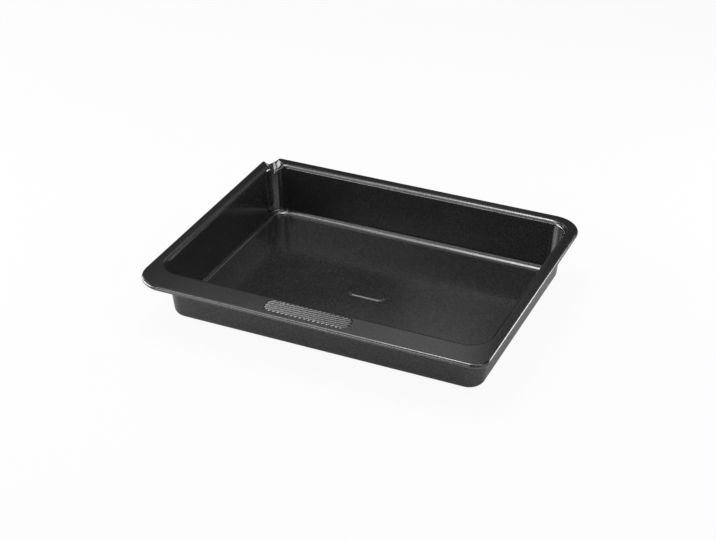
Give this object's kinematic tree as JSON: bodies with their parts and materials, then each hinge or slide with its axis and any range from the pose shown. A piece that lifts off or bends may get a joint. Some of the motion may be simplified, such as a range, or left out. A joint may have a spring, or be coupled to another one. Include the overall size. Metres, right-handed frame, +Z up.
{
  "type": "roasting pan",
  "caption": "Deep rectangular roasting pan of coated pressed steel with a wired rim, a wide ribbed grip flange along one long side and a pour spout pressed into one corner.",
  "frame": {"origin": "under the middle of the rim's outline, on the surface that the pan stands on", "axes": "+X along the long sides, +Y from the wide grip flange towards the opposite long side, +Z up out of the open basin"},
  "size_m": [0.352, 0.282, 0.0546],
  "materials": {
    "coated_steel": "charcoal non-stick coat, satin, finely speckled",
    "wire_steel": "bare drawn steel wire"
  },
  "bodies": {
    "root": {"pan_shell": "coated_steel", "rim_wire": "wire_steel"}
  },
  "joints": []
}
